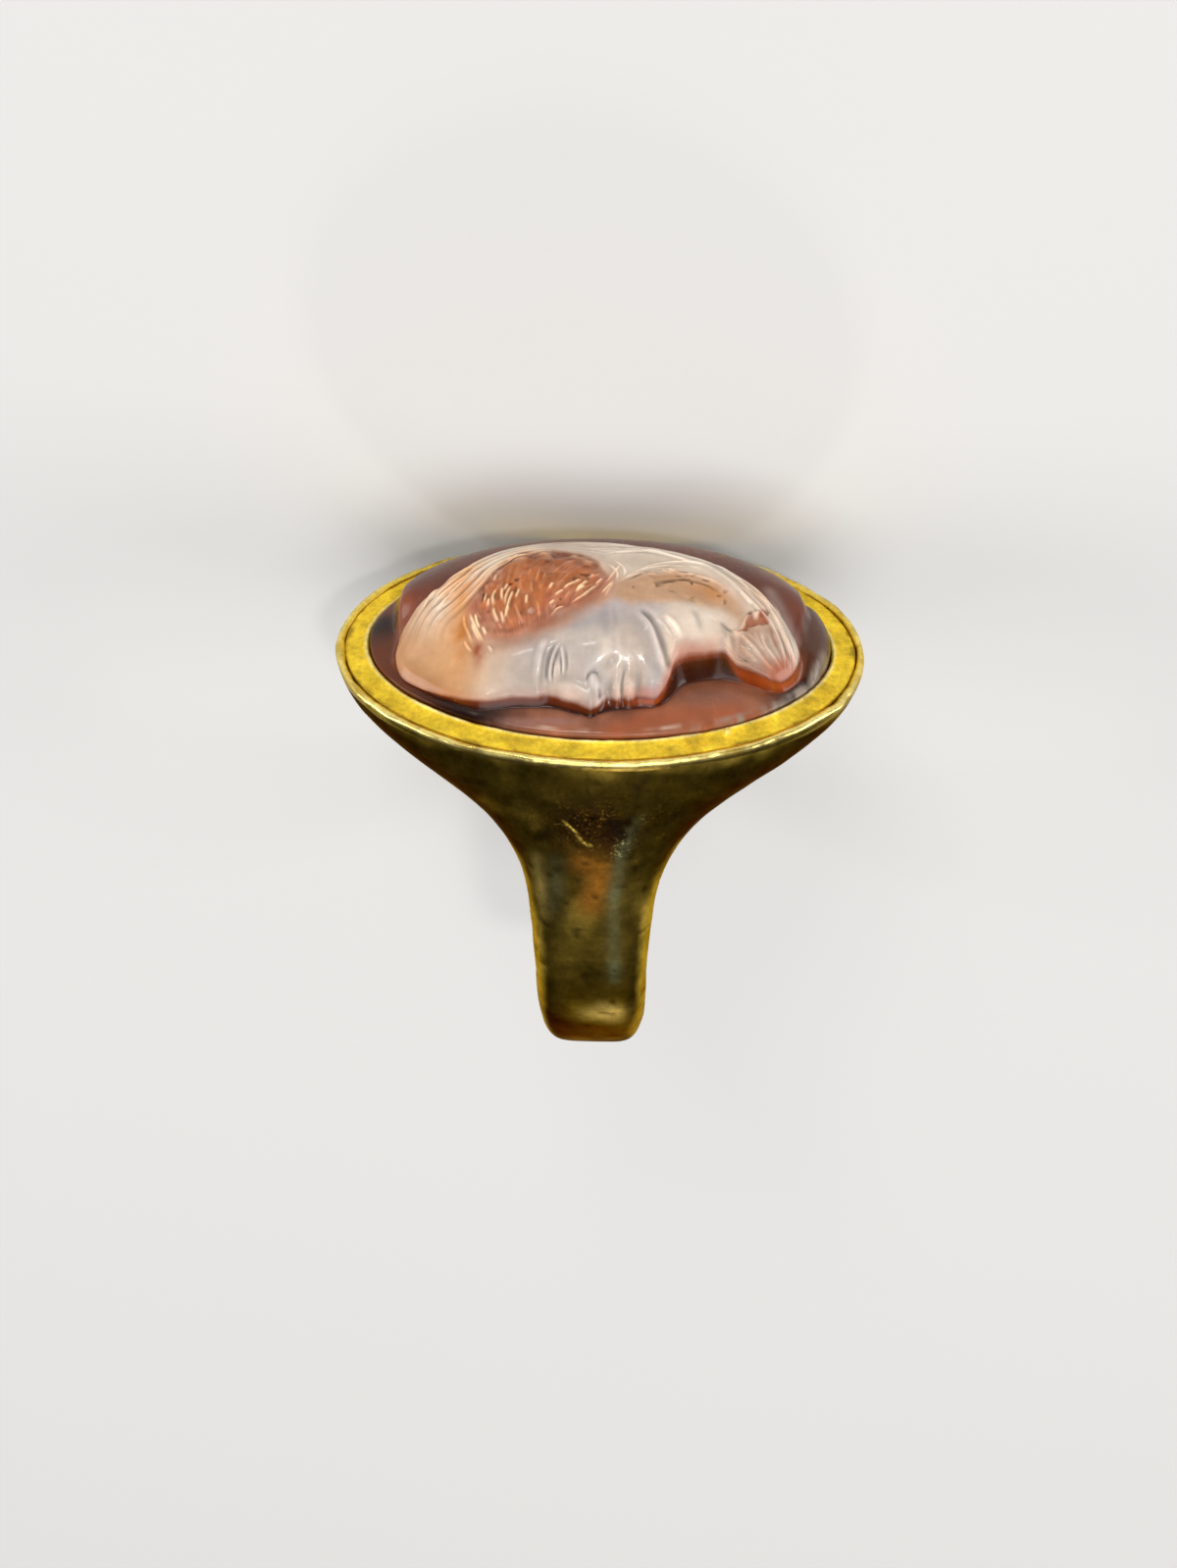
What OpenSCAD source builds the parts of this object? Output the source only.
// Cameo ring: a gold ring with a flared oval bezel, a collar strip seated inside the lip of the bezel,
// and a high domed layered stone carved with a veiled head. The ring lies on its side, as it rests.

/* [Band] */
// Diameter of the finger hole
finger_d = 17; // [15:0.5:20]
// Thickness of the band
band_t = 1.65; // [1.3:0.05:2.2]
// Width of the band beside the finger, at the edge of the hole
band_w = 5.5; // [4.6:0.1:7]
// Width of the band under the finger, at the edge of the hole
band_low_w = 4.4; // [4:0.1:6]

/* [Bezel] */
// Length of the bezel, along the finger
bezel_l = 24.8; // [22:0.2:29]
// Width of the bezel, across the finger
bezel_w = 16.3; // [14.5:0.1:18]
// Depth from the rim of the bezel to the finger hole
bezel_t = 4.15; // [3.2:0.05:6]
// How far the long sides of the bezel are hollowed between rim and band
side_sag = 0.25; // [0:0.05:0.5]

/* [Lip and collar] */
// Thickness of the lip round the collar
lip_t = 0.3; // [0.2:0.05:0.4]
// Width of the collar
collar_w = 1.1; // [0.8:0.05:1.5]
// Thickness of the collar
collar_t = 0.6; // [0.4:0.05:0.8]
// How far the inner edge of the collar stands over the rim
collar_rise = 0.22; // [0.1:0.02:0.4]
// Gap that is left between two pieces
seam = 0.05; // [0.03:0.01:0.1]

/* [Stone] */
// Height of the dome over the girdle of the stone
dome_h = 3.9; // [3:0.1:5]
// Height of the girdle over the rim
girdle_h = 0.3; // [0.2:0.05:0.5]
// Depth of the foot of the stone under the rim
stone_foot = 1.3; // [1:0.05:1.8]
// Rise of the cut ground in front of the head, from the girdle inwards
ground_h = 0.8; // [0.5:0.05:1.2]
// Width of the cut wall between relief and ground, seen from above
wall_run = 0.14; // [0.08:0.02:0.25]
// Gap between the stone and the collar
stone_gap = 0.1; // [0.06:0.02:0.2]

/* [Hidden] */

finger_r = finger_d / 2;
band_r = finger_r + band_t;
rim_a = bezel_l / 2;
rim_b = bezel_w / 2;
// Depth of the finger's axis under the rim
drop = finger_r + bezel_t;
// Angle between the ring's upright axis and the line that touches the rim and the band from the side
lean = asin(band_r / norm([rim_b, drop])) - atan2(rim_b, drop);
// Depth under the rim at which that line meets the band, and its share of the drop for the flare's loops
touch_depth = drop - band_r * sin(lean);
touch_share = max(0.82, touch_depth / drop);

// The collar's outer edge, and the stone's girdle, as half axes of an ellipse
seat_a = rim_a - lip_t;
seat_b = rim_b - lip_t;
collar_a = seat_a - seam;
collar_b = seat_b - seam;
hole_a = collar_a - collar_w;
hole_b = collar_b - collar_w;
stone_a = hole_a - stone_gap;
stone_b = hole_b - stone_gap;

// Points round a loop of the body, where an odd half gives the long sides a small flat to rest on,
// half loops round the band, and points round the collar and stone
body_points = 50;
band_steps = 18;
oval_points = 96;

// Squareness of the band's section, and its half width where the finger hole cuts it
band_power = 6;
hole_share = pow(1 - pow(finger_r / band_r, band_power), 1 / band_power);
band_half = band_w / 2 / hole_share;
band_low_half = band_low_w / 2 / hole_share;

// Sections of the flare: [depth as a share of the drop, spread as a share from band to rim, squareness]
FLARE = [
    [0.00, 1.000, 2.0],
    [0.04, 0.996, 2.0],
    [0.07, 0.985, 2.0],
    [0.10, 0.965, 2.0],
    [0.14, 0.921, 2.0],
    [0.18, 0.862, 2.0],
    [0.25, 0.725, 2.0],
    [0.32, 0.571, 2.05],
    [0.40, 0.397, 2.2],
    [0.48, 0.254, 2.5],
    [0.57, 0.143, 3.0],
    [0.67, 0.074, 3.8],
    [0.77, 0.039, 4.8],
    [touch_share, 0.017, 5.5],
    [1.00, 0.000, band_power]
];

// Section of the collar, from its outer foot round to its inner foot:
// [inset as a share of its width, height as a share of its rise, height as a share of its thickness]
COLLAR_SECTION = [
    [0.00, 0.0, -1],
    [0.00, -0.15, 0],
    [0.04, 0.0, 0],
    [0.35, 0.2, 0],
    [0.70, 0.5, 0],
    [0.86, 0.8, 0],
    [0.93, 1.0, 0],
    [0.99, 0.85, 0],
    [1.00, 0.0, -1]
];

function sign_pow(v, e) = sign(v) * pow(abs(v), e);

// A loop's point, on a rounded square whose small flats across the finger lie at the full half width b
function rounded_square(a, b, power, turn) =
    let (flat = pow(cos(180 / body_points), 2 / power))
    [a * sign_pow(cos(turn), 2 / power), b / flat * sign_pow(sin(turn), 2 / power)];
function oval(a, b) = [for (i = [0:oval_points - 1]) [a * cos(360 * i / oval_points), b * sin(360 * i / oval_points)]];
function ease(low, high, v) = let (t = min(1, max(0, (v - low) / (high - low)))) t * t * (3 - 2 * t);

// Triangles between closed loops of the same number of points, first to last
function loop_faces(loops, points) = [
    for (j = [0:loops - 2], i = [0:points - 1])
        let (n = (i + 1) % points, a = j * points, b = a + points)
        each [[a + i, b + i, b + n], [a + i, b + n, a + n]]
];

// The ring's upright frame has the finger's axis along X and the rim at height 0.
// Here it is laid on the long side of the bezel and on the band, with the stone towards -Y.
rest_height = rim_b * cos(lean);
back_end = drop * cos(lean) + band_r;
front_end = (girdle_h + dome_h) * cos(lean);
module laid() {
    translate([0, (front_end - back_end) / 2, rest_height])
        rotate([0, 0, 180])
            rotate([-90 - lean, 0, 0])
                children();
}

// Half width of the body across the finger, at a depth under the rim
function side_reach(depth) =
    depth < touch_depth
    ? let (t = depth / touch_depth) rim_b + depth * tan(lean) - side_sag * 4 * t * (1 - t)
    : sqrt(band_r * band_r - pow(drop - depth, 2));

function flare_loop(row) = [
    for (i = [0:body_points - 1])
        let (
            x = band_half + row[1] * (rim_a - band_half),
            p = rounded_square(x, side_reach(row[0] * drop), row[2], 360 * i / body_points)
        )
        [p[0], p[1], -row[0] * drop]
];

// A half loop of the band in the plane that turns by t about the finger's axis; its ends are the two poles
function band_loop(t) = [
    for (i = [1:body_points / 2 - 1])
        let (
            half = band_half + (band_low_half - band_half) * pow(sin(t), 2),
            p = rounded_square(half, band_r, band_power, 360 * i / body_points)
        )
        [p[0], p[1] * cos(t), -drop - p[1] * sin(t)]
];

// Index of point i (0 to half) on half loop j (0 to band_steps), where loops 0 and band_steps are the
// two sides of the last flare loop
function band_index(i, j) =
    let (
        half = body_points / 2,
        last = (len(FLARE) - 1) * body_points,
        own = len(FLARE) * body_points
    )
    i == 0 || i == half ? last + i
    : j == 0 ? last + i
    : j == band_steps ? last + body_points - i
    : own + (j - 1) * (half - 1) + i - 1;

module body_block() {
    points = concat(
        [for (row = FLARE) each flare_loop(row)],
        [for (j = [1:band_steps - 1]) each band_loop(180 * j / band_steps)]
    );
    half = body_points / 2;
    faces = concat(
        [[for (i = [body_points - 1:-1:0]) i]],
        loop_faces(len(FLARE), body_points),
        [
            for (j = [0:band_steps - 1], i = [0:half - 1])
                let (
                    a = band_index(i, j),
                    b = band_index(i, j + 1),
                    c = band_index(i + 1, j + 1),
                    d = band_index(i + 1, j)
                )
                each [if (a != b) [a, b, c], if (c != d) [a, c, d]]
        ]
    );
    polyhedron(points, [for (f = faces) [for (i = [len(f) - 1:-1:0]) f[i]]]);
}

module pocket(a, b, depth) {
    translate([0, 0, -depth])
        linear_extrude(depth + bezel_t)
            polygon(oval(a, b));
}

module ring_body() {
    color("goldenrod")
        laid()
            difference() {
                body_block();
                translate([-bezel_l, 0, -drop])
                    rotate([0, 90, 0])
                        cylinder(h = 2 * bezel_l, r = finger_r, $fn = 128);
                pocket(seat_a, seat_b, collar_t + seam);
                pocket(hole_a, hole_b, stone_foot + seam);
            }
}

module collar() {
    loops = [
        for (row = COLLAR_SECTION)
            let (
                inset = row[0] * collar_w,
                z = row[1] * collar_rise + row[2] * collar_t
            )
            [for (p = oval(collar_a - inset, collar_b - inset)) [p[0], p[1], z]]
    ];
    closed = concat(loops, [loops[0]]);
    count = len(loops) * oval_points;
    color("gold")
        laid()
            polyhedron(
                [for (l = loops) each l],
                [for (f = loop_faces(len(closed), oval_points)) [for (i = f) i % count]]
            );
}

// The stone. Places are shares of its half axes, u along the finger and w across it, w < 0 in front.
// Outline of the relief, anticlockwise from the right end: [u, w]
OUTLINE = [
    [0.875, 0.00], [0.885, 0.12], [0.84, 0.33], [0.70, 0.58], [0.46, 0.79], [0.15, 0.90],
    [-0.15, 0.905], [-0.46, 0.79], [-0.70, 0.58], [-0.84, 0.30], [-0.87, 0.05], [-0.86, -0.15],
    [-0.865, -0.34], [-0.845, -0.47], [-0.80, -0.56], [-0.71, -0.66], [-0.61, -0.735],
    [-0.50, -0.785], [-0.42, -0.79],
    [-0.33, -0.765], [-0.245, -0.77], [-0.19, -0.755], [-0.08, -0.815], [-0.018, -0.86],
    [0.018, -0.825], [0.032, -0.765], [0.068, -0.76], [0.095, -0.785], [0.115, -0.75],
    [0.145, -0.78], [0.185, -0.73], [0.245, -0.745], [0.285, -0.715], [0.312, -0.64],
    [0.335, -0.54], [0.385, -0.485], [0.455, -0.455], [0.52, -0.425],
    [0.60, -0.455], [0.675, -0.505], [0.75, -0.53], [0.81, -0.47], [0.85, -0.37], [0.868, -0.22],
    [0.872, -0.10]
];

// Raised and sunk forms of the relief: [u, w, reach along, reach across, turn in degrees, rise].
// Reaches are shares of the stone's half width, rises are shares of the dome's height.
FORMS = [
    // Hair over the temple, and the furrow along the face
    [-0.26, -0.05, 0.45, 0.30, 35, 0.075],
    [-0.24, -0.41, 0.40, 0.055, 27, -0.035],
    // Forehead and brow
    [-0.35, -0.58, 0.20, 0.13, 15, 0.015],
    [-0.25, -0.665, 0.07, 0.09, 0, 0.028],
    // Eye socket and eye
    [-0.18, -0.60, 0.085, 0.10, 0, -0.055],
    [-0.177, -0.60, 0.058, 0.04, -10, 0.042],
    // Nose and its wing
    [-0.08, -0.74, 0.15, 0.055, -22, 0.045],
    [-0.003, -0.71, 0.045, 0.045, 0, 0.03],
    // Cheek
    [0.02, -0.52, 0.24, 0.15, 15, 0.04],
    // Lips and the corner between them
    [0.088, -0.71, 0.026, 0.07, 0, 0.022],
    [0.138, -0.70, 0.028, 0.065, 0, 0.022],
    [0.114, -0.68, 0.018, 0.08, 0, -0.025],
    // Chin and jaw
    [0.24, -0.67, 0.075, 0.065, 0, 0.035],
    [0.225, -0.43, 0.24, 0.09, 108, 0.025],
    // Fold under the jaw, neck, and the hollow behind it
    [0.27, -0.44, 0.13, 0.035, -39, -0.05],
    [0.42, -0.31, 0.32, 0.13, 8, 0.03],
    [0.35, -0.03, 0.42, 0.14, -5, -0.03],
    // Drapery over the shoulder
    [0.57, -0.35, 0.13, 0.04, 60, -0.03],
    [0.69, -0.38, 0.20, 0.12, -40, 0.03]
];

// Folds of the veil beside its middle line: [offset as a share of the half width, reach, rise]
VEIL_FOLDS = [
    [-0.14, 0.035, 0.018],
    [-0.02, 0.045, 0.040],
    [0.09, 0.035, 0.020]
];

spokes = 144;
relief_rings = 20;
ground_rings = 3;
// Spokes stand closer together in front, by this many degrees of shift
spoke_shift = 28;

// Fullness of the dome at its back, its two ends and its front: [power of the distance, power of the height]
DOME_BACK = [2.4, 0.6];
DOME_ENDS = [3.2, 0.52];
DOME_FRONT = [2.0, 0.75];
// Share by which the dome stands higher towards its right end
dome_tilt = 0.06;

function dome(u, w) =
    let (
        r = norm([u, w]),
        front = ease(0.25, -0.5, w),
        end = (1 - front) * pow(u / max(r, 0.001), 2),
        power = DOME_BACK + front * (DOME_FRONT - DOME_BACK) + end * (DOME_ENDS - DOME_BACK)
    )
    girdle_h + dome_h * (1 + dome_tilt * u) * pow(max(0, 1 - pow(r, power[0])), power[1]);

// Ground: cut low in front and at the ends, and a smooth back just under the dome
function ground(u, w) =
    let (
        r = norm([u, w]),
        low = girdle_h + ground_h * sqrt(max(0, 1 - r * r)),
        back = ease(-0.05, 0.2, w) * (1 - ease(0.84, 0.92, abs(u)))
    )
    low + back * max(0, dome(u, w) - 0.06 * dome_h - low);

function form_rise(f, u, w) =
    let (
        x = (u - f[0]) * stone_a,
        y = (w - f[1]) * stone_b,
        p = (x * cos(f[4]) + y * sin(f[4])) / (f[2] * stone_b),
        q = (y * cos(f[4]) - x * sin(f[4])) / (f[3] * stone_b)
    )
    f[5] * exp(-p * p - q * q);

// The veil's middle line falls from the crown along the back of the neck to the right end
function veil_line(u) = 0.47 - 0.70 * pow(max(0, u + 0.23), 3);
function veil_rise(u, w) =
    let (
        slope = -2.1 * pow(max(0, u + 0.23), 2) * stone_b / stone_a,
        off = (w - veil_line(u)) / norm([1, slope]),
        shown = ease(-0.62, -0.35, u)
    )
    shown * sum([for (f = VEIL_FOLDS) f[2] * exp(-pow((off - f[0]) / f[1], 2))]);

function sum(v) = v * [for (x = v) 1];
function relief(u, w) =
    dome(u, w) + dome_h * (sum([for (f = FORMS) form_rise(f, u, w)]) + veil_rise(u, w));

// Reach of the outline along a spoke, from the outline's points as pairs of angle and distance
function outline_pair(p) = [(atan2(p[1], p[0]) + 360) % 360, norm(p)];
OUTLINE_PAIRS = [for (p = OUTLINE) outline_pair(p)];
OUTLINE_LOOKUP = concat(OUTLINE_PAIRS, [[360, OUTLINE_PAIRS[0][1]]]);

function spoke_angle(i) = let (t = 360 * i / spokes) t - spoke_shift * (cos(t) - 1);
function on_stone(u, w, z) = [u * stone_a, w * stone_b, z];

function relief_ring(share) = [
    for (i = [0:spokes - 1])
        let (
            a = spoke_angle(i) % 360,
            r = share * lookup(a, OUTLINE_LOOKUP),
            u = r * cos(a),
            w = r * sin(a),
            edge = 0.03 * dome_h * pow(share, 14)
        )
        on_stone(u, w, max(ground(u, w), relief(u, w) - edge))
];
function ground_ring(share) = [
    for (i = [0:spokes - 1])
        let (
            a = spoke_angle(i) % 360,
            foot = lookup(a, OUTLINE_LOOKUP) + wall_run / stone_b,
            r = foot + share * (1 - foot),
            u = r * cos(a),
            w = r * sin(a)
        )
        on_stone(u, w, ground(u, w))
];
function girdle_ring(z) = [for (i = [0:spokes - 1]) let (a = spoke_angle(i)) on_stone(cos(a), sin(a), z)];

module cameo() {
    rings = concat(
        [for (k = [relief_rings:-1:1]) relief_ring((relief_rings - k + 1) / relief_rings)],
        [for (k = [0:ground_rings]) ground_ring(k / ground_rings)],
        [girdle_ring(-stone_foot)]
    );
    count = len(rings) * spokes;
    last = count - spokes;
    points = concat([for (r = rings) each r], [[0, 0, relief(0, 0)], [0, 0, -stone_foot]]);
    faces = concat(
        [for (i = [0:spokes - 1]) [count, i, (i + 1) % spokes]],
        loop_faces(len(rings), spokes),
        [for (i = [0:spokes - 1]) [count + 1, last + (i + 1) % spokes, last + i]]
    );
    color("sienna")
        laid()
            polyhedron(points, [for (f = faces) [f[2], f[1], f[0]]]);
}

ring_body();
collar();
cameo();
